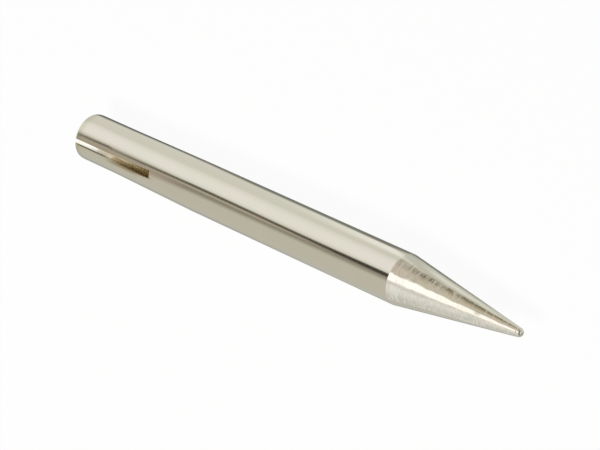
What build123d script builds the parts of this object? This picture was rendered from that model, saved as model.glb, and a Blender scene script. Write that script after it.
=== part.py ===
"""Slide-on soldering iron tip: a turned shank with a blind bore, slit and squeezed at its open end
so that it grips a heater tube, and a long conical point with a small rounded nose.

Millimetres. The tip lies on its shank along X, point towards +X, on the plane Z = 0, with its
lighter side, the one with the slot, on top. The origin is on that plane, under the middle of the
tip's length.
"""

import os
from math import asin, atan2, cos, hypot, radians, sin, tan

from build123d import *

# Outside
shank_diameter = 5.0
shank_length = 42.2  # open end to the base of the cone
cone_length = 14.0  # base of the cone to the very end of the nose
nose_radius = 0.45

# Blind bore for the heater tube
bore_diameter = 3.3
bore_depth = 32.1  # to the shoulder of the drill point
drill_point_angle = 118.0

# One saw cut through the wall on one side, from the open end
slot_length = 10.9
slot_width = 0.82  # at its root

# The slit end is squeezed round the heater tube: its top comes down, its underside stays straight,
# and the saw cut closes, most of all in the collar between the bend and the open end
grip_length = 16.1  # how far in from the open end the squeeze begins
grip_depth = 0.125  # taken off the radius in the collar
collar_length = 5.1
slot_collar_width = 0.42  # width of the saw cut at the bend
slot_mouth_width = 0.38  # and at the open end

# Edges
rolled_length = 0.45  # the open end's outer edge is rolled in over this length
rolled_depth = 0.06
bore_edge_chamfer = 0.15  # lead-in of the bore
cutter_margin = 1.0  # how far a cutting shape runs past what it cuts

shank_radius = shank_diameter / 2
bore_radius = bore_diameter / 2
collar_radius = shank_radius - grip_depth
collar_bore_radius = bore_radius - grip_depth
overall_length = shank_length + cone_length
drill_point_length = bore_radius / tan(radians(drill_point_angle / 2))

# The cone touches the nose sphere where the line from the cone's base is tangent to it
nose_centre = overall_length - nose_radius
base_to_nose = nose_centre - shank_length
tangent_slope = asin(nose_radius / hypot(base_to_nose, shank_radius)) - atan2(shank_radius, base_to_nose)
nose_tangent = (
    nose_centre - nose_radius * sin(tangent_slope),
    nose_radius * cos(tangent_slope),
)
nose_end = (overall_length, 0)
nose_middle_angle = (radians(90) + tangent_slope) / 2
nose_middle = (
    nose_centre + nose_radius * cos(nose_middle_angle),
    nose_radius * sin(nose_middle_angle),
)

# Profiles are drawn with their x along an axis, counted from the open end. The collar has an axis
# of its own, lower than the shank's by what the squeeze takes off the radius.
shank_end = Vector(-overall_length / 2, 0, shank_radius)
collar_end = Vector(-overall_length / 2, 0, collar_radius)
shank_plane = Plane(origin=shank_end, x_dir=(1, 0, 0), z_dir=(0, -1, 0))
collar_plane = Plane(origin=collar_end, x_dir=(1, 0, 0), z_dir=(0, -1, 0))
shank_axis = Axis(origin=shank_end, direction=(1, 0, 0))
collar_axis = Axis(origin=collar_end, direction=(1, 0, 0))
grip_section = Plane(origin=shank_end + Vector(grip_length, 0, 0), z_dir=(1, 0, 0))
bend_section = Plane(origin=collar_end + Vector(collar_length, 0, 0), z_dir=(1, 0, 0))
slot_plane = Plane(origin=shank_end, x_dir=(1, 0, 0), z_dir=(0, 0, 1))

with BuildPart() as soldering_tip:
    # Shank, cone and nose, turned in one
    with BuildSketch(shank_plane):
        with BuildLine():
            Polyline(
                (grip_length, 0),
                (grip_length, shank_radius),
                (shank_length, shank_radius),
                nose_tangent,
            )
            ThreePointArc(nose_tangent, nose_middle, nose_end)
            Line(nose_end, (grip_length, 0))
        make_face()
    revolve(axis=shank_axis)

    # Squeezed length, from the round shank down to the collar
    with BuildSketch(grip_section):
        Circle(shank_radius)
    with BuildSketch(bend_section):
        Circle(collar_radius)
    loft(ruled=True)

    # Collar, with its outer edge rolled in
    with BuildSketch(collar_plane):
        with BuildLine():
            Polyline(
                (rolled_length, collar_radius),
                (collar_length, collar_radius),
                (collar_length, 0),
                (0, 0),
                (0, collar_radius - rolled_depth),
            )
            EllipticalCenterArc(
                (rolled_length, collar_radius - rolled_depth),
                rolled_length,
                rolled_depth,
                start_angle=90,
                arc_size=90,
            )
        make_face()
    revolve(axis=collar_axis)

    # Bore: drilled, then squeezed with the rest
    with BuildSketch(shank_plane):
        Polygon(
            (grip_length, 0),
            (grip_length, bore_radius),
            (bore_depth, bore_radius),
            (bore_depth + drill_point_length, 0),
            align=None,
        )
    revolve(axis=shank_axis, mode=Mode.SUBTRACT)
    with BuildSketch(grip_section):
        Circle(bore_radius)
    with BuildSketch(bend_section):
        Circle(collar_bore_radius)
    loft(ruled=True, mode=Mode.SUBTRACT)
    with BuildSketch(collar_plane):
        Polygon(
            (0, 0),
            (0, collar_bore_radius + bore_edge_chamfer),
            (bore_edge_chamfer, collar_bore_radius),
            (collar_length, collar_bore_radius),
            (collar_length, 0),
            align=None,
        )
    revolve(axis=collar_axis, mode=Mode.SUBTRACT)

    # Slot: the saw cut, half closed by the squeeze, cut outwards from the axis
    with BuildSketch(slot_plane):
        with BuildLine():
            edge = Polyline(
                (-cutter_margin, 0),
                (-cutter_margin, slot_mouth_width / 2),
                (0, slot_mouth_width / 2),
                (collar_length, slot_collar_width / 2),
                (slot_length, slot_width / 2),
                (slot_length, 0),
            )
            mirror(edge, about=Plane.XZ)
        make_face()
    extrude(amount=shank_radius + cutter_margin, mode=Mode.SUBTRACT)

soldering_tip.part.label = "soldering_tip"

os.makedirs("parts", exist_ok=True)
export_step(soldering_tip.part, "parts/soldering_tip.step")
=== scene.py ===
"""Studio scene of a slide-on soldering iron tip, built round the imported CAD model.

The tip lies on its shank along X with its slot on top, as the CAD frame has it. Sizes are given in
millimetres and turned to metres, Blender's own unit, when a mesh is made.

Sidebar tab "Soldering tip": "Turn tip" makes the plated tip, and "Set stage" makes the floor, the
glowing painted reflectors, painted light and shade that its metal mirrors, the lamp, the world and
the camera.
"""

import bpy
import numpy as np
from mathutils import Matrix, Vector


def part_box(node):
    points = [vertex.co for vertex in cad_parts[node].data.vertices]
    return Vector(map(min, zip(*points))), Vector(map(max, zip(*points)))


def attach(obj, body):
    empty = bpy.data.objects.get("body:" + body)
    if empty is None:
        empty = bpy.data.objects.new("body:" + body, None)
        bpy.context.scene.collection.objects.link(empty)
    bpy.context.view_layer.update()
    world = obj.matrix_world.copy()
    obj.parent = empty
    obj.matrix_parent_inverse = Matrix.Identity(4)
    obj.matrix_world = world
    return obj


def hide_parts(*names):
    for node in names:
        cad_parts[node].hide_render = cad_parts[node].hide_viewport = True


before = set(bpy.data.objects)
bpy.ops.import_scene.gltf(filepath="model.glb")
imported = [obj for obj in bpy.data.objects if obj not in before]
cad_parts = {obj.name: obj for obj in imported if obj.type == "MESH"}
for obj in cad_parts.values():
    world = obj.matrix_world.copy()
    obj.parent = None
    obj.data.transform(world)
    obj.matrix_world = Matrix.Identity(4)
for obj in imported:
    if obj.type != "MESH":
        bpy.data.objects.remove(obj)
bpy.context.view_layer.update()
cad_low, cad_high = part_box("soldering_tip")

bl_info = {
    "name": "Soldering iron tip",
    "version": (1, 0, 0),
    "blender": (4, 5, 0),
    "location": "3D View > Sidebar > Soldering tip",
    "description": "Turns a slide-on soldering iron tip and sets the stage that it lies on",
    "category": "Object",
}

MM = 0.001

# The tip's axis runs along X over the floor, and stations are counted from its open end
TIP_LENGTH = (cad_high.x - cad_low.x) / MM
SHANK_DIAMETER = (cad_high.y - cad_low.y) / MM
OPEN_END = cad_low.x / MM
AXIS_HEIGHT = SHANK_DIAMETER / 2

# How finely the skin is divided, along its profile and round it
BORE_STEPS = (6, 12, 6)  # the drill point, the round bore, and on to the slot's root
SLOT_STEPS = (14, 10)  # the slot's root to the bend, and on to the open end
END_FACE_STEPS = (1, 1)  # the lead-in and the flat
ROLLED_STEPS = 10
SHANK_STEPS = (8, 28)  # the slot's root to the end of the squeeze, and on to the cone
CONE_STEPS = (48,)
NOSE_STEPS = 16
ROUND_STEPS = 176  # round the tip from one edge of the slot to the other
GAP_STEPS = 12  # across the slot's width
SHARP_ANGLE = np.radians(20)  # a sharper edge than this isn't smoothed
BEVEL_ANGLE = np.radians(30)  # a sharper edge than this is broken
BEVEL_SEGMENTS = 2


def linear(hex_colour):
    """The linear RGB of an sRGB hex colour such as "#E7E4D9"."""
    srgb = np.array([int(hex_colour[i : i + 2], 16) / 255 for i in (1, 3, 5)])
    return tuple(np.where(srgb <= 0.04045, srgb / 12.92, ((srgb + 0.055) / 1.055) ** 2.4))


def cover(value, low, high, soft_low, soft_high):
    """1 between low and high and 0 outside, with a smooth step across each edge."""
    rise = np.clip((value - low) / soft_low + 0.5, 0, 1) * np.clip((high - value) / soft_high + 0.5, 0, 1)
    return rise * rise * (3 - 2 * rise)


def edge_at(x, edge):
    """A strip's edge at x: the same all along, or straight between its (x, across) points."""
    return np.interp(x, *zip(*edge)) if isinstance(edge, tuple) else edge


def painted(x, across, ground, strips):
    """The colour at each point: the ground, and over it the strips in their order."""
    colour = np.empty((*x.shape, 3))
    colour[:] = linear(ground)
    for _, (x0, x1, soft), (low, high, soft_low, soft_high), paint, lit in strips:
        amount = cover(x, x0, x1, soft, soft) * cover(
            across, edge_at(x, low), edge_at(x, high), soft_low, soft_high
        )
        colour += (np.array(linear(paint)) * lit - colour) * amount[..., None]
    return colour


class TipSizes(bpy.types.PropertyGroup):
    """Sizes of the tip in millimetres."""

    length: bpy.props.FloatProperty(
        name="Length", description="Open end to the end of the nose, in mm", default=TIP_LENGTH
    )
    shank_diameter: bpy.props.FloatProperty(
        name="Shank diameter", description="Outside diameter of the shank, in mm", default=SHANK_DIAMETER
    )
    cone_length: bpy.props.FloatProperty(
        name="Cone length", description="Base of the cone to the end of the nose, in mm", default=14.0
    )
    nose_radius: bpy.props.FloatProperty(
        name="Nose radius", description="Radius of the rounded nose, in mm", default=0.45
    )
    bore_diameter: bpy.props.FloatProperty(
        name="Bore diameter", description="Diameter of the bore where it is round, in mm", default=3.3
    )
    bore_depth: bpy.props.FloatProperty(
        name="Bore depth", description="Open end to the shoulder of the drill point, in mm", default=32.1
    )
    drill_point_angle: bpy.props.FloatProperty(
        name="Drill point angle",
        description="Angle of the drill point at the bottom of the bore",
        default=np.radians(118.0),
        subtype="ANGLE",
    )
    slot_length: bpy.props.FloatProperty(
        name="Slot length", description="How far in the saw cut goes, in mm", default=10.9
    )
    slot_width: bpy.props.FloatProperty(
        name="Slot width", description="Width of the saw cut at its root, in mm", default=0.82
    )
    slot_collar_width: bpy.props.FloatProperty(
        name="Slot collar width", description="Width of the saw cut at the bend, in mm", default=0.42
    )
    slot_mouth_width: bpy.props.FloatProperty(
        name="Slot mouth width", description="Width of the saw cut at the open end, in mm", default=0.38
    )
    grip_length: bpy.props.FloatProperty(
        name="Grip length", description="How far in the shank is squeezed, in mm", default=16.1
    )
    grip_depth: bpy.props.FloatProperty(
        name="Grip depth", description="Taken off the radius in the collar, in mm", default=0.125
    )
    collar_length: bpy.props.FloatProperty(
        name="Collar length", description="Open end to the bend where the squeeze eases, in mm",
        default=5.1,
    )
    rolled_length: bpy.props.FloatProperty(
        name="Rolled length", description="Length over which the open end is rolled in, in mm",
        default=0.45,
    )
    rolled_depth: bpy.props.FloatProperty(
        name="Rolled depth", description="How far the open end's edge is rolled in, in mm", default=0.06
    )
    bore_chamfer: bpy.props.FloatProperty(
        name="Bore chamfer", description="Lead-in of the bore, in mm", default=0.15
    )
    edge_break: bpy.props.FloatProperty(
        name="Edge break", description="How far the sharp edges are broken, in mm", default=0.07
    )


class TipFinish(bpy.types.PropertyGroup):
    """Colours and roughness of the plating."""

    nickel_green: bpy.props.FloatVectorProperty(
        name="Nickel, greener", description="Colour of the plating in its greener patches",
        default=linear("#E7E5D9"), size=3, subtype="COLOR",
    )
    nickel_pink: bpy.props.FloatVectorProperty(
        name="Nickel, pinker", description="Colour of the plating in its pinker patches",
        default=linear("#EAE5DB"), size=3, subtype="COLOR",
    )
    roughness: bpy.props.FloatProperty(
        name="Roughness", description="Roughness of the plating", default=0.11, min=0.0, max=1.0
    )
    mark_depth: bpy.props.FloatProperty(
        name="Mark depth", description="Depth of the feed marks on the cone, in mm", default=0.045
    )


class StageSettings(bpy.types.PropertyGroup):
    """Floor, cove and light."""

    floor_size: bpy.props.FloatProperty(
        name="Floor size", description="Side of the square floor", default=1.6, unit="LENGTH"
    )
    floor_colour: bpy.props.FloatVectorProperty(
        name="Floor", description="Colour of the floor",
        default=linear("#EDECE7"), size=3, subtype="COLOR",
    )
    floor_white: bpy.props.FloatProperty(
        name="Floor white", description="How much of the floor is seen as plain white, with no shadow",
        default=0.95, subtype="FACTOR", min=0.0, max=1.0,
    )
    cove_radius: bpy.props.FloatProperty(
        name="Cove radius", description="Radius of the reflector cove round the tip, in mm", default=150.0
    )
    lamp_size: bpy.props.FloatProperty(
        name="Lamp size", description="Side of the square lamp", default=0.15, unit="LENGTH"
    )
    lamp_distance: bpy.props.FloatProperty(
        name="Lamp distance", description="From the floor under the tip to the lamp",
        default=0.5, unit="LENGTH",
    )
    lamp_energy: bpy.props.FloatProperty(
        name="Lamp energy", description="Light that the lamp gives", default=2.0, unit="POWER"
    )
    fill: bpy.props.FloatProperty(
        name="Fill", description="How brightly the surround lights matt surfaces", default=0.2, min=0.0
    )


def add_node(tree, kind, links=(), **settings):
    """Adds a node, sets its properties and its inputs' values, and links (output, input) pairs."""
    node = tree.nodes.new(kind)
    for key, value in settings.items():
        if key in node.inputs:
            node.inputs[key].default_value = value
        else:
            setattr(node, key, value)
    for source, target in links:
        tree.links.new(source, node.inputs[target])
    return node


def make_mesh(name, vertices, faces):
    """A mesh object in metres from vertices in millimetres and faces of any number of corners."""
    mesh = bpy.data.meshes.new(name)
    mesh.from_pydata((vertices * MM).tolist(), [], faces)
    mesh.update()
    obj = bpy.data.objects.new(name, mesh)
    bpy.context.collection.objects.link(obj)
    return obj


def paint_points(mesh, name, colours):
    """Gives a mesh a colour attribute with one linear RGB colour for each of its points."""
    rgba = np.ones((len(mesh.vertices), 4))
    rgba[:, :3] = colours.reshape(-1, 3)
    mesh.color_attributes.new(name, "FLOAT_COLOR", "POINT").data.foreach_set("color", rgba.ravel())


def run(*points, steps):
    """Points along straight runs between the given (station, radius) points, ends included."""
    points = np.array(points, float)
    pieces = [
        a + (b - a) * np.linspace(0, 1, n + 1)[:-1, None]
        for a, b, n in zip(points[:-1], points[1:], steps)
    ]
    return np.vstack([*pieces, points[-1:]])


def arc(centre, along, across, start, end, steps):
    """Points on an ellipse in the (station, radius) plane: the centre, plus one half axis times the
    cosine and the other times the sine of an angle that runs from start to end."""
    t = np.linspace(start, end, steps + 1)
    return np.column_stack([centre[0] + along * np.cos(t), centre[1] + across * np.sin(t)])


def squeezed(sizes, station):
    """How much the squeeze takes off the radius: nothing up to the grip, then evenly more up to the
    bend, and the full depth in the collar."""
    taper = sizes.grip_length - sizes.collar_length
    return sizes.grip_depth * np.clip((sizes.grip_length - station) / taper, 0, 1)


def tip_profile(sizes):
    """The turned profile: from the drill point out through the bore, round the open end, along the
    shank and the cone to the end of the nose. Returns its (station, radius) points and, by name,
    the rows of its corners."""
    radius, bore = sizes.shank_diameter / 2, sizes.bore_diameter / 2
    base = sizes.length - sizes.cone_length
    drill_end = sizes.bore_depth + bore / np.tan(sizes.drill_point_angle / 2)

    # The cone is the straight line from its base that touches the nose sphere
    nose_centre = sizes.length - sizes.nose_radius
    reach = nose_centre - base
    slope = np.arcsin(sizes.nose_radius / np.hypot(reach, radius)) - np.arctan2(radius, reach)
    touch = (nose_centre - sizes.nose_radius * np.sin(slope), sizes.nose_radius * np.cos(slope))

    collar, root = sizes.collar_length, sizes.slot_length
    at_root = squeezed(sizes, root)
    in_bore, in_shank = bore - sizes.grip_depth, radius - sizes.grip_depth
    lead, rolled, depth = sizes.bore_chamfer, sizes.rolled_length, sizes.rolled_depth
    pieces = {
        "bore": run(
            (drill_end, 0), (sizes.bore_depth, bore), (sizes.grip_length, bore), (root, bore - at_root),
            steps=BORE_STEPS,
        ),
        "slit bore": run((root, bore - at_root), (collar, in_bore), (lead, in_bore), steps=SLOT_STEPS),
        "end face": run(
            (lead, in_bore), (0, in_bore + lead), (0, in_shank - depth), steps=END_FACE_STEPS,
        ),
        "rolled edge": arc((rolled, in_shank - depth), rolled, depth, np.pi, np.pi / 2, ROLLED_STEPS),
        "slit shank": run(
            (rolled, in_shank), (collar, in_shank), (root, radius - at_root), steps=SLOT_STEPS[::-1],
        ),
        "shank": run(
            (root, radius - at_root), (sizes.grip_length, radius), (base, radius), steps=SHANK_STEPS,
        ),
        "cone": run((base, radius), touch, steps=CONE_STEPS),
        "nose": arc(
            (nose_centre, 0), sizes.nose_radius, sizes.nose_radius, np.pi / 2 - slope, 0, NOSE_STEPS,
        ),
    }
    points, starts, count = [], {}, 0
    for name, piece in pieces.items():
        starts[name] = count
        points.append(piece[:-1])
        count += len(piece) - 1
    points = np.vstack([*points, [[sizes.length, 0]]])
    return points, starts


def tip_mesh(sizes):
    """One closed skin: the profile carried round the axis from one edge of the slot to the other,
    more columns that fill the slot's width where the saw has not been, the slot's two flat walls
    and its root.

    A point at station s, radius r and angle a from straight up is (s, r sin a, r cos a). The slot's
    edge is at the angle whose sine is the slot's half width over the radius. Returns the points, the
    faces, and which points are inside the bore and which on the cone's base.
    """
    profile, rows = tip_profile(sizes)
    slot_steps = sum(SLOT_STEPS)
    station, radius = profile.T
    last = len(profile) - 1
    root_in, root_out = rows["slit bore"], rows["shank"]
    main, gap = ROUND_STEPS, GAP_STEPS

    half_width = np.interp(
        station,
        (0, sizes.collar_length, sizes.slot_length),
        (sizes.slot_mouth_width / 2, sizes.slot_collar_width / 2, sizes.slot_width / 2),
    )
    slit = np.clip(np.arange(last + 1), root_in, root_out)
    edge_angle = np.arcsin(half_width[slit] / radius[slit])[:, None]

    t = np.arange(main + 1)[None, :] / main
    u = np.arange(1, gap)[None, :] / gap
    angle = np.hstack([
        edge_angle + (2 * np.pi - 2 * edge_angle) * t,
        2 * np.pi - edge_angle + 2 * edge_angle * u,
    ])
    columns = main + gap
    points = np.stack([
        np.broadcast_to(OPEN_END + station[:, None], angle.shape),
        radius[:, None] * np.sin(angle),
        AXIS_HEIGHT - squeezed(sizes, station)[:, None] + radius[:, None] * np.cos(angle),
    ], axis=-1)

    # One vertex for each pole, and none in the slot's width between its root and the open end
    kept = np.ones(angle.shape, bool)
    kept[root_in + 1 : root_out, main + 1 :] = False
    kept[[0, last], 1:] = False
    index = np.full(angle.shape, -1)
    index[kept] = np.arange(kept.sum())
    index[0], index[last] = index[0, 0], index[last, 0]
    ring = np.hstack([index, index[:, :1]])

    k, j = np.meshgrid(np.arange(1, last - 1), np.arange(columns), indexing="ij")
    present = (j < main) | (k < root_in) | (k >= root_out)
    k, j = k[present], j[present]
    faces = np.column_stack([ring[k, j], ring[k + 1, j], ring[k + 1, j + 1], ring[k, j + 1]]).tolist()
    j = np.arange(columns)
    faces += np.column_stack([ring[0, j], ring[1, j], ring[1, j + 1]]).tolist()
    faces += np.column_stack([ring[last - 1, j], ring[last, j], ring[last - 1, j + 1]]).tolist()

    # The slot's root, its walls, and the wall's end beside the open end's rounding and chamfer
    j = np.arange(main, columns)
    faces += np.column_stack(
        [ring[root_in, j], ring[root_out, j], ring[root_out, j + 1], ring[root_in, j + 1]]
    ).tolist()
    i = np.arange(slot_steps)
    for column, turn in ((0, 1), (main, -1)):
        wall = np.column_stack([
            ring[root_in + i, column], ring[root_out - i, column],
            ring[root_out - i - 1, column], ring[root_in + i + 1, column],
        ])
        faces += wall[:, ::turn].tolist()
        mouth = ring[root_in + slot_steps : root_out - slot_steps + 1, column]
        faces.append(mouth[::-turn].tolist())

    row = np.broadcast_to(np.arange(last + 1)[:, None], angle.shape)[kept]
    return points[kept], faces, row <= rows["end face"], row == rows["cone"]


# Tints that multiply the plating's colour: a faint greenish-grey band over the rolled end, painted
# shade along the slot's lower edge, painted brown reflection below the slot further in, a nick on the
# cone, and in the bore a thin brown oxide painted darker further in as shade. Each strip has its name;
# from and to along the tip in mm from the open end, with one soft edge; from and to across in mm along
# Y, with a soft edge each; its tint; and its level, 1 for a tint. An edge that slants is (along,
# across) points.
BARE = "#FFFFFF"
FAR_IN = 60  # mm, past the bottom of the bore
ALL_ROUND = (-9, 9, 1, 1)
# Where the painted brown reflection below the slot ends
BROWN_REFLECTION_EDGE = ((5, -0.38), (9, -0.5), (10.9, -0.48))
TOP_STRIPS = (
    ("end band", (-1, 0.55, 0.4), ALL_ROUND, "#EDEFE6", 1.0),
    # Painted shade: a dark line along the slot's lower edge
    ("painted shade on the lip", (0.4, 4.7, 0.7), (-0.36, -0.2, 0.1, 0.04), "#6E6959", 1.0),
    # Painted brown reflection below the slot, lighter and then darker towards the slot's root
    ("painted brown reflection on the lip", (5.0, 9.0, 2.0), (-0.72, -0.2, 0.3, 0.04), "#D3C4AF", 1.0),
    ("painted darker brown reflection on the lip", (6.2, 10.7, 1.2), (BROWN_REFLECTION_EDGE, -0.2, 0.16, 0.04), "#907C5C", 1.0),
    ("nick on the cone", (51.6, 51.8, 0.3), (0.3, 0.58, 0.15, 0.15), "#5E584E", 1.0),
)
# The bore: a thin brown oxide, with painted shade, bare at the mouth and beige then browner further in
BORE_STRIPS = (
    ("beige", (2.4, FAR_IN, 1.6), ALL_ROUND, "#DAD4C8", 1.0),
    ("brown", (3.5, FAR_IN, 1.4), ALL_ROUND, "#D0C8B8", 1.0),
)

# Patterns of the plating and the turning, in mm
CLOUD_SIZE = 3.0
CLOUD_RANGE = (0.35, 0.65)  # noise at which a patch is all greener, and all pinker
FEED_PITCH = 0.3
FEED_REACH = 2.5  # how far a mark runs round the cone
FEED_START = 0.05  # over which the marks set in at the cone's base
PATCH_SIZE = 1.5
PATCH_RANGE = {"From Min": 0.35, "From Max": 0.65, "To Min": 0.2, "To Max": 1.0}
MIX_FACTOR, MIX_COLOUR_A, MIX_COLOUR_B, MIX_COLOUR_RESULT = 0, 6, 7, 2  # the Mix node's sockets


def plating_tint(points, inside):
    """The tint at each vertex: the bore's wall gets the bore's strips, and the upper half of the
    outside the top's, which are mostly beside the slot."""
    station, y, z = points[:, 0] - OPEN_END, points[:, 1], points[:, 2]
    top = painted(station, y, BARE, TOP_STRIPS)
    top[z < AXIS_HEIGHT] = 1.0
    return np.where(inside[:, None], painted(station, y, BARE, BORE_STRIPS), top)


def nickel_plate(finish, sizes):
    """Bright nickel plate over turned copper: a clear, slightly warm mirror, softened by the fine
    grain of the plating, with the lathe's feed marks still in the cone, a thin brown oxide in the
    bore that is painted darker further in as shade, and painted shade and brown reflection beside
    the slot. The metal keeps the default IOR."""
    material = bpy.data.materials.new("nickel_plate_bright_over_turned_copper")
    material.use_nodes = True
    tree = material.node_tree
    tree.nodes.clear()
    place = add_node(tree, "ShaderNodeTexCoord").outputs["Object"]
    noise = {}
    for name, grain, detail in (
        ("clouds", (CLOUD_SIZE,) * 3, 3.0),
        ("marks", (FEED_PITCH, FEED_REACH, FEED_REACH), 2.0),
        ("patches", (PATCH_SIZE,) * 3, 1.0),
    ):
        scaled = add_node(tree, "ShaderNodeMapping", [(place, "Vector")],
                          Scale=tuple(1 / (size * MM) for size in grain))
        noise[name] = add_node(tree, "ShaderNodeTexNoise", [(scaled.outputs["Vector"], "Vector")],
                               Scale=1.0, Detail=detail).outputs["Fac"]

    # Cloudiness of the plating, in patches some 3 mm long: a shade greener here, pinker there
    plate = add_node(tree, "ShaderNodeValToRGB", [(noise["clouds"], "Fac")])
    for stop, level, shade in zip(
        plate.color_ramp.elements, CLOUD_RANGE, (finish.nickel_green, finish.nickel_pink)
    ):
        stop.position = level
        stop.color = (*shade, 1)
    # The tint holds the bore's oxide, the nick and a greenish band at the open end, with painted shade in
    # the bore and painted shade and brown reflection beside the slot
    tint = add_node(tree, "ShaderNodeAttribute", attribute_name="tint").outputs["Color"]
    colour = add_node(tree, "ShaderNodeMix", [
        (plate.outputs["Color"], MIX_COLOUR_A), (tint, MIX_COLOUR_B),
    ], data_type="RGBA", blend_type="MULTIPLY")
    colour.inputs[MIX_FACTOR].default_value = 1.0

    # Feed marks of the lathe, a tenth of a millimetre apart, drawn about 0.3 mm apart so that they
    # show. They run round the cone, and come and go in patches some 1.5 mm wide.
    base = (OPEN_END + sizes.length - sizes.cone_length) * MM
    along = add_node(tree, "ShaderNodeSeparateXYZ", [(place, "Vector")]).outputs["X"]
    cone = add_node(tree, "ShaderNodeMapRange", [(along, "Value")], **{
        "From Min": base, "From Max": base + FEED_START * MM,
    })
    patches = add_node(tree, "ShaderNodeMapRange", [(noise["patches"], "Value")], **PATCH_RANGE)
    marks = noise["marks"]
    for mask in (patches, cone):
        marks = add_node(tree, "ShaderNodeMath", [(marks, 0), (mask.outputs["Result"], 1)],
                         operation="MULTIPLY").outputs[0]
    bump = add_node(tree, "ShaderNodeBump", [(marks, "Height")], Strength=1.0,
                    Distance=finish.mark_depth * MM)

    shader = add_node(tree, "ShaderNodeBsdfPrincipled", [
        (colour.outputs[MIX_COLOUR_RESULT], "Base Color"), (bump.outputs["Normal"], "Normal"),
    ], Metallic=1.0, Roughness=finish.roughness)
    add_node(tree, "ShaderNodeOutputMaterial", [(shader.outputs["BSDF"], "Surface")])
    return material


class SOLDERTIP_OT_turn_tip(bpy.types.Operator):
    """Make the plated tip, with its bore, slot, cone and nose, in place of the CAD solid"""

    bl_idname = "soldertip.turn_tip"
    bl_label = "Turn tip"
    bl_options = {"REGISTER", "UNDO"}

    def execute(self, context):
        sizes, finish = context.scene.tip_sizes, context.scene.tip_finish
        points, faces, inside, base = tip_mesh(sizes)
        tip = make_mesh("plated_tip", points, faces)
        mesh = tip.data
        paint_points(mesh, "tint", plating_tint(points, inside))

        # Smooth but for its edges, with the blunt one at the cone's base among them
        mesh.shade_smooth()
        mesh.set_sharp_from_angle(angle=SHARP_ANGLE)
        ends = np.empty(len(mesh.edges) * 2, int)
        mesh.edges.foreach_get("vertices", ends)
        sharp = np.empty(len(mesh.edges), bool)
        mesh.attributes["sharp_edge"].data.foreach_get("value", sharp)
        sharp |= base[ends.reshape(-1, 2)].all(axis=1)
        mesh.attributes["sharp_edge"].data.foreach_set("value", sharp)
        bevel = tip.modifiers.new("Broken edges", "BEVEL")
        bevel.width = sizes.edge_break * MM
        bevel.segments = BEVEL_SEGMENTS
        bevel.limit_method = "ANGLE"
        bevel.angle_limit = BEVEL_ANGLE
        bevel.harden_normals = True

        mesh.materials.append(nickel_plate(finish, sizes))
        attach(tip, "root")
        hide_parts("soldering_tip")
        return {"FINISHED"}


# The cove and the floor card are glowing sheets that only reflections see, painted with strips one
# over another: painted light, shade and shadow for the metal to mirror, on the cove the studio round
# the tip and on the card the floor with the tip's shadow. Each has its name; from and to along X in
# mm, with one soft edge; from and to across, with a soft edge each; its paint; and how brightly it
# glows. Across is in degrees round the tip, from straight up towards +Y, on the cove and in mm along
# Y on the card. An edge that slants is given as (x, across) points. The shank mirrors the cove up to
# SHANK_END, the cone the rest.
SHANK_END = -75.0
COVE_END = 400.0
COVE_GROUND = "#E4E4DC"
LINE_LOW = ((-166, 3), (-163, 5.5), (-160.5, 6.5), (-158, 8.5), (-150, 11.5), (-138, 12.5), (-124, 12),
            (-110, 8), (-96, 6.5))
LINE_HIGH = ((-166, 10.5), (-163, 13.5), (-160.5, 15), (-158, 17.5), (-155, 19.5), (-148, 21.5),
             (-128, 22.5), (-116, 19), (-103, 18), (-96, 21.5))
BROWN_LOW = ((-160, -24), (-150, -17), (-95, -7))
BROWN_HIGH = ((-163, 14), (-157, 18))
LIGHT_LINE_LOW = ((-166, -2), (-160, 0), (-150, 4.5), (-110, 3))
LIGHT_LINE_HIGH = ((-166, 3), (-160, 6.5), (-150, 11), (-110, 9))
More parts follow.
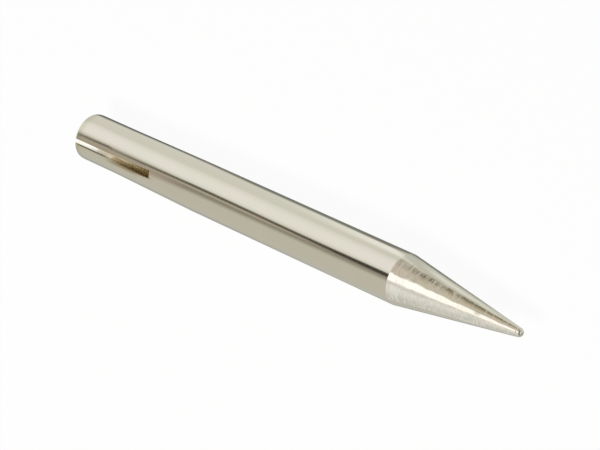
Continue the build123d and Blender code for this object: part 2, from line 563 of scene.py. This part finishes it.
COVE_STRIPS = (
    ("white side", (-COVE_END, SHANK_END, 6), (31, 80, 16, 40), "#F5F4F1", 1.0),
    ("beige side", (-COVE_END, SHANK_END, 6), (-100, 22, 4, 4), "#CAC7BC", 1.0),
    ("brown side", (-COVE_END, SHANK_END, 6), (BROWN_LOW, BROWN_HIGH, 20, 4), "#968F83", 1.0),
    ("brown side's light end", (-COVE_END, -156, 5), (-30, 8, 10, 4), "#B5AA9A", 1.0),
    ("light line", (-COVE_END, -109, 10), (LIGHT_LINE_LOW, LIGHT_LINE_HIGH, 3, 3), "#BFB6A8", 1.0),
    ("dark line", (-COVE_END, SHANK_END, 6), (LINE_LOW, LINE_HIGH, 5, 5), "#5E584D", 1.0),
    ("dark end of the line", (-107, SHANK_END, 10), (LINE_LOW, LINE_HIGH, 6, 5), "#322F27", 1.0),
    ("line by the bend", (-165, -159, 2), (LINE_LOW, LINE_HIGH, 4, 4), "#3E3A30", 1.0),
    ("pale end of the line", (-COVE_END, -164.6, 1), (0, 14, 5, 5), "#A09A8D", 1.0),
    ("white far end", (-COVE_END, -270, 40), (-100, 100, 4, 4), "#FFFFFF", 1.15),
    ("cone's white side", (SHANK_END, COVE_END, 6), (-100, 30, 4, 5), "#F1F1EE", 1.0),
    ("cone's low side", (SHANK_END, COVE_END, 6), (-100, -45, 4, 50), "#D0D0CC", 1.0),
    ("cone's low stripe", (-46, -40, 3), (-90, 0, 10, 4), "#FAFAF8", 1.0),
    ("cone's low dark stripe", (-31, -26, 3), (-90, 0, 10, 4), "#CDCDC8", 1.0),
    ("cone's grey line", (SHANK_END, -33, 5), (-16, -7, 4, 6), "#DAD8D5", 1.0),
    ("cone's key light", (SHANK_END, COVE_END, 6), (-1, 28.5, 7, 8), "#FFFFFF", 1.35),
    ("cone's key light's dim end", (-24.5, COVE_END, 4), (-1, 24.5, 7, 8), "#FCF7F0", 1.25),
    ("cone's brown side", (SHANK_END, COVE_END, 6), (34, 100, 6, 4), "#D0C7B8", 1.0),
    ("cone's pale patch", (-40.5, -35.8, 2), (36, 100, 12, 4), "#EEE8DF", 1.0),
    ("cone's base", (SHANK_END, -40.5, 3), (31, 100, 6, 4), "#BDB7AD", 1.0),
    ("cone's dark end", (-26, -19, 2), (56, 100, 12, 4), "#A0917A", 1.0),
    ("cone's dark edge", (-35, COVE_END, 2), (73, 100, 12, 4), "#877F69", 1.0),
    ("cone's dark patch", (-35, -31.5, 1.5), (66, 100, 12, 4), "#595240", 1.0),
    ("nose's dark ring", (100, COVE_END, 60), (-100, 100, 4, 4), "#86827B", 1.0),
    ("nose's grey side", (230, COVE_END, 80), (-100, 100, 4, 4), "#A8A6A6", 1.0),
)
CARD_HEIGHT = 0.02  # mm over the floor
CARD_GROUND = "#DEDED6"
SHADE_EDGE = ((-31, 3.3), (-24, 3.0), (-18, 3.0), (-8, 3.6), (3, 3.65), (11, 3.9), (13, 2.9),
              (23, 2.3))
CARD_STRIPS = (
    ("near floor", (3, 60, 24), (4, 10, 1, 6), "#FEFEFA", 1.0),
    ("floor by the cone", (11.5, 60, 3), (3, 30, 1, 10), "#D5D6CF", 1.0),
    ("floor by the cone's base", (11.5, 14.5, 3), (3, 30, 1, 10), "#C9CAC1", 1.0),
    ("light floor by the cone", (15.5, 22.5, 2), (4.2, 8.5, 1.2, 3), "#ECECE5", 1.0),
    ("far floor by the cone", (3, 10, 4), (18, 160, 5, 4), "#BFBCB0", 1.0),
    ("cone's dark edge", (-8, 15, 8), (34, 160, 12, 4), "#938B74", 1.0),
    ("low side", (-COVE_END, COVE_END, 6), (-160, 0, 4, 1), "#C6C5BE", 1.0),
    ("low side by the cone", (12, COVE_END, 4), (-160, 0, 4, 1), "#CECECA", 1.0),
    ("shade on the low side", (-COVE_END, -6, 20), (-13, 0, 10, 1), "#B2B1A8", 1.0),
    ("foot of the low side", (-33, 60, 6), (-7.5, 0, 3, 1), "#ADADA6", 1.0),
    ("faint shade by the cone", (-33, 23.5, 5), (-1, SHADE_EDGE, 1, 1.2), "#A3A49C", 1.0),
    ("shade of the tip", (-33, 18, 5), (-1, SHADE_EDGE, 1, 1.2), "#7D7F78", 1.0),
    ("dark end of the shade", (-34, -15, 5), (-1, 2.7, 1, 0.8), "#5F615B", 1.0),
)
# Two cards before the open end that glow brighter than white: painted light seen through the bore
MOUTH_CARD_RADIUS = 1.66  # mm, the bore with its lead-in
MOUTH_CARD_HOLE = 0.05  # mm, so that its middle is no pole
MOUTH_CARD_GAP = 0.02  # mm before the open end
MOUTH_CARD_LEVEL = 1.35
COVE_FOOT = 91.0  # degrees from straight up to where it meets the floor
ALONG_POINTS, ROUND_POINTS, CARD_POINTS, MOUTH_POINTS = 401, 365, 201, 49  # on their grids
HIDDEN_FROM = ("camera", "diffuse", "transmission", "volume_scatter", "shadow")  # but not glossy

LAMP_DIRECTION = (0, -0.423, 0.906)

# The camera is solved from the tip's outline: its place in mm, the directions of its right, its up
# and its view, and its lens in mm
CAMERA_PLACE = (155.835, 87.561, 180.767)
CAMERA_RIGHT = (0.71713, 0.12701, -0.68527)
CAMERA_UP = (-0.32656, 0.92987, -0.16940)
CAMERA_VIEW = (-0.61570, -0.34526, -0.70831)
CAMERA_LENS = 161.585
SENSOR_WIDTH = 36.0
CAMERA_CLIP = (0.01, 10.0)  # m


def reflector(name, points, colours, material):
    """A glowing sheet through a grid of points, painted with their colours as light, that only
    reflections see.
    """
    index = np.arange(points[..., 0].size).reshape(points.shape[:2])
    faces = np.stack([index[:-1, :-1], index[:-1, 1:], index[1:, 1:], index[1:, :-1]], axis=-1)
    sheet = make_mesh(name, points.reshape(-1, 3), faces.reshape(-1, 4).tolist())
    sheet.data.shade_smooth()
    paint_points(sheet.data, "paint", colours)
    sheet.data.materials.append(material)
    for kind in HIDDEN_FROM:
        setattr(sheet, "visible_" + kind, False)


def set_floor(stage):
    """A square of white card under the tip."""
    half = stage.floor_size / 2 / MM
    corners = np.array([(-half, -half, 0), (half, -half, 0), (half, half, 0), (-half, half, 0)])
    floor = make_mesh("floor", corners, [(0, 1, 2, 3)])
    floor.data.materials.append(floor_material(stage))


def set_reflectors(stage, sizes):
    """The glowing painted sheets that the metal mirrors: painted light, shade and shadow.

    The cove is half a cylinder round the tip's axis, down to the floor: at x and t from straight up
    it is at (x, r sin t, axis height + r cos t). The floor card lies just over the floor, with its
    points ever closer together towards the tip: y is r times the cube of a number from -1 to 1.
    Two white cards stand before the open end and are seen from within, glowing brighter than
    white as painted light: a disc for the bore and a tab over it for the slot.
    """
    material = glowing_sheet_material()
    along = np.linspace(-COVE_END, COVE_END, ALONG_POINTS)
    x, turn = np.meshgrid(along, np.linspace(-COVE_FOOT, COVE_FOOT, ROUND_POINTS), indexing="ij")
    cove = np.stack([
        x,
        stage.cove_radius * np.sin(np.radians(turn)),
        AXIS_HEIGHT + stage.cove_radius * np.cos(np.radians(turn)),
    ], axis=-1)
    reflector("glowing_reflector_cove", cove, painted(x, turn, COVE_GROUND, COVE_STRIPS), material)

    x, y = np.meshgrid(along, stage.cove_radius * np.linspace(-1, 1, CARD_POINTS) ** 3, indexing="ij")
    card = np.stack([x, y, np.full(x.shape, CARD_HEIGHT)], axis=-1)
    reflector("glowing_floor_card", card, painted(x, y, CARD_GROUND, CARD_STRIPS), material)

    plane = OPEN_END - MOUTH_CARD_GAP
    axis = AXIS_HEIGHT - sizes.grip_depth
    radius, angle = np.meshgrid(
        [MOUTH_CARD_HOLE, MOUTH_CARD_RADIUS], np.linspace(0, 2 * np.pi, MOUTH_POINTS), indexing="ij"
    )
    disc = np.stack([
        np.full(radius.shape, plane), radius * np.sin(angle), axis + radius * np.cos(angle),
    ], axis=-1)
    y, up = np.meshgrid(
        np.array([-0.5, 0.5]) * sizes.slot_mouth_width,
        [MOUTH_CARD_RADIUS, sizes.shank_diameter / 2 - sizes.grip_depth], indexing="ij",
    )
    tab = np.stack([np.full(y.shape, plane), y, axis + up], axis=-1)
    for name, sheet in (("glowing_mouth_card", disc), ("glowing_slot_card", tab)):
        reflector(name, sheet, np.full(sheet.shape, MOUTH_CARD_LEVEL), material)


def set_lamp(stage):
    """A soft lamp over the tip, for the floor's shadow; the metal mirrors the reflectors instead."""
    lamp = bpy.data.lights.new("soft_top_light", "AREA")
    lamp.size = stage.lamp_size
    lamp.energy = stage.lamp_energy
    light = bpy.data.objects.new("soft_top_light", lamp)
    direction = Vector(LAMP_DIRECTION)
    light.location = direction * stage.lamp_distance
    light.rotation_euler = direction.to_track_quat("Z", "Y").to_euler()
    light.visible_glossy = False
    bpy.context.collection.objects.link(light)


def set_world(scene, stage):
    """A white surround: plain white where it is seen or mirrored, and a weak fill light."""
    world = bpy.data.worlds.new("white_surround")
    scene.world = world
    world.use_nodes = True
    tree = world.node_tree
    tree.nodes.clear()
    path = add_node(tree, "ShaderNodeLightPath")
    seen = path.outputs["Is Camera Ray"]
    for ray in ("Is Glossy Ray", "Is Transmission Ray"):
        seen = add_node(tree, "ShaderNodeMath", [(seen, 0), (path.outputs[ray], 1)],
                        operation="ADD", use_clamp=True).outputs[0]
    level = add_node(tree, "ShaderNodeMapRange", [(seen, "Value")], **{
        "To Min": stage.fill, "To Max": 1.0,
    })
    ground = add_node(tree, "ShaderNodeBackground", [(level.outputs["Result"], "Strength")],
                      Color=(1, 1, 1, 1))
    add_node(tree, "ShaderNodeOutputWorld", [(ground.outputs[0], "Surface")])


def set_camera(scene):
    """The camera, turned by its three directions as the columns of its matrix."""
    cam = bpy.data.cameras.new("camera")
    cam.lens = CAMERA_LENS
    cam.sensor_width = SENSOR_WIDTH
    cam.sensor_fit = "HORIZONTAL"
    cam.clip_start, cam.clip_end = CAMERA_CLIP
    camera = bpy.data.objects.new("camera", cam)
    bpy.context.collection.objects.link(camera)
    place = Matrix((CAMERA_RIGHT, CAMERA_UP, -Vector(CAMERA_VIEW))).transposed().to_4x4()
    place.translation = Vector(CAMERA_PLACE) * MM
    camera.matrix_world = place
    scene.camera = camera


class SOLDERTIP_OT_set_stage(bpy.types.Operator):
    """Make the floor, the reflectors, the lamp, the world and the camera"""

    bl_idname = "soldertip.set_stage"
    bl_label = "Set stage"
    bl_options = {"REGISTER", "UNDO"}

    def execute(self, context):
        scene = context.scene
        scene.view_settings.view_transform = "Standard"
        set_floor(scene.tip_stage)
        set_reflectors(scene.tip_stage, scene.tip_sizes)
        set_lamp(scene.tip_stage)
        set_world(scene, scene.tip_stage)
        set_camera(scene)
        return {"FINISHED"}


def floor_material(stage):
    """White card floor: plain matt, mostly seen as white, with the tip's soft shadow kept."""
    material = bpy.data.materials.new("white_card_matt")
    material.use_nodes = True
    tree = material.node_tree
    tree.nodes.clear()
    path = add_node(tree, "ShaderNodeLightPath")
    matt = add_node(tree, "ShaderNodeBsdfDiffuse", Color=(*stage.floor_colour, 1))
    glow = add_node(tree, "ShaderNodeEmission", Color=(1, 1, 1, 1), Strength=1.0)
    share = add_node(tree, "ShaderNodeMath", [(path.outputs["Is Camera Ray"], 0)], operation="MULTIPLY")
    share.inputs[1].default_value = stage.floor_white
    mix = add_node(tree, "ShaderNodeMixShader", [
        (share.outputs[0], 0), (matt.outputs[0], 1), (glow.outputs[0], 2)])
    add_node(tree, "ShaderNodeOutputMaterial", [(mix.outputs[0], "Surface")])
    return material


def glowing_sheet_material():
    """Glowing painted sheet, no lamp: it gives its own paint's colour as light."""
    material = bpy.data.materials.new("glowing_sheet_painted_light")
    material.use_nodes = True
    material.cycles.emission_sampling = "NONE"
    tree = material.node_tree
    tree.nodes.clear()
    paint = add_node(tree, "ShaderNodeAttribute", attribute_name="paint")
    glow = add_node(tree, "ShaderNodeEmission", [(paint.outputs["Color"], "Color")], Strength=1.0)
    add_node(tree, "ShaderNodeOutputMaterial", [(glow.outputs[0], "Surface")])
    return material


class SOLDERTIP_PT_sidebar(bpy.types.Panel):
    """Lists the steps that make the tip and its stage"""

    bl_label = "Soldering tip"
    bl_idname = "SOLDERTIP_PT_sidebar"
    bl_space_type = "VIEW_3D"
    bl_region_type = "UI"
    bl_category = "Soldering tip"

    def draw(self, context):
        for step in STEPS:
            self.layout.operator(step.bl_idname)


STEPS = (SOLDERTIP_OT_turn_tip, SOLDERTIP_OT_set_stage)
GROUPS = {"tip_sizes": TipSizes, "tip_finish": TipFinish, "tip_stage": StageSettings}


def register():
    """Adds the classes, and the settings to the scene."""
    for cls in (*GROUPS.values(), *STEPS, SOLDERTIP_PT_sidebar):
        bpy.utils.register_class(cls)
    for name, group in GROUPS.items():
        setattr(bpy.types.Scene, name, bpy.props.PointerProperty(type=group))


def unregister():
    """Takes both away again."""
    for name in GROUPS:
        delattr(bpy.types.Scene, name)
    for cls in (*GROUPS.values(), *STEPS, SOLDERTIP_PT_sidebar):
        bpy.utils.unregister_class(cls)


def main():
    """Makes the tip and its stage."""
    register()
    bpy.ops.soldertip.turn_tip()
    bpy.ops.soldertip.set_stage()
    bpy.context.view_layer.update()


if __name__ == "__main__":
    main()
